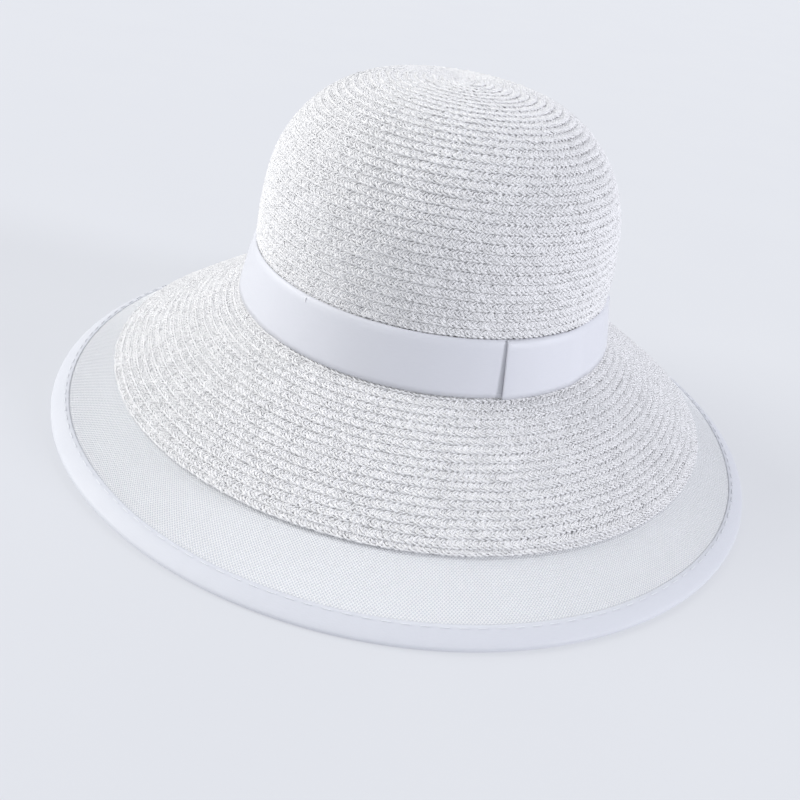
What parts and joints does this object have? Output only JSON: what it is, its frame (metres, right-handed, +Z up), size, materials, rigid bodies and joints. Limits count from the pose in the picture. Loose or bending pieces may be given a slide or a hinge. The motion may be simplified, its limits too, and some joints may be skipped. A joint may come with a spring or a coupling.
{
  "type": "wide-brimmed sun hat",
  "caption": "Sun hat with a rounded sewn-braid crown, a sloping braid brim, a ribbon band and a sheer net outer brim on a wired ribbon edge.",
  "frame": {"origin": "on the crown's axis, in the plane that the brim edge rests on", "axes": "+Z up along the crown's axis, -Y the front, +X the wearer's left"},
  "size_m": [0.38, 0.38, 0.181],
  "materials": {
    "straw_braid": "satin paper straw braid",
    "net": "sheer plain-woven net",
    "satin_ribbon": "satin ribbon",
    "edge_ribbon": "soft sheen ribbon",
    "sweat_ribbon": "matt ribbed ribbon",
    "seam_tape": "matt tape",
    "thread": "polyester sewing thread",
    "spring_wire": "drawn",
    "ferrule": "crimped"
  },
  "bodies": {
    "root": {"crown_braid": "straw_braid", "brim_braid": "straw_braid", "headline_stitching": "thread", "net_brim": "net", "net_seam_tape": "seam_tape", "net_seam_stitching": "thread", "edge_wire": "spring_wire", "wire_ferrule": "ferrule", "edge_binding": "edge_ribbon", "binding_stitching": "thread", "hat_band": "satin_ribbon", "band_tacks": "thread", "sweatband": "sweat_ribbon", "sweatband_stitching": "thread"}
  },
  "joints": []
}
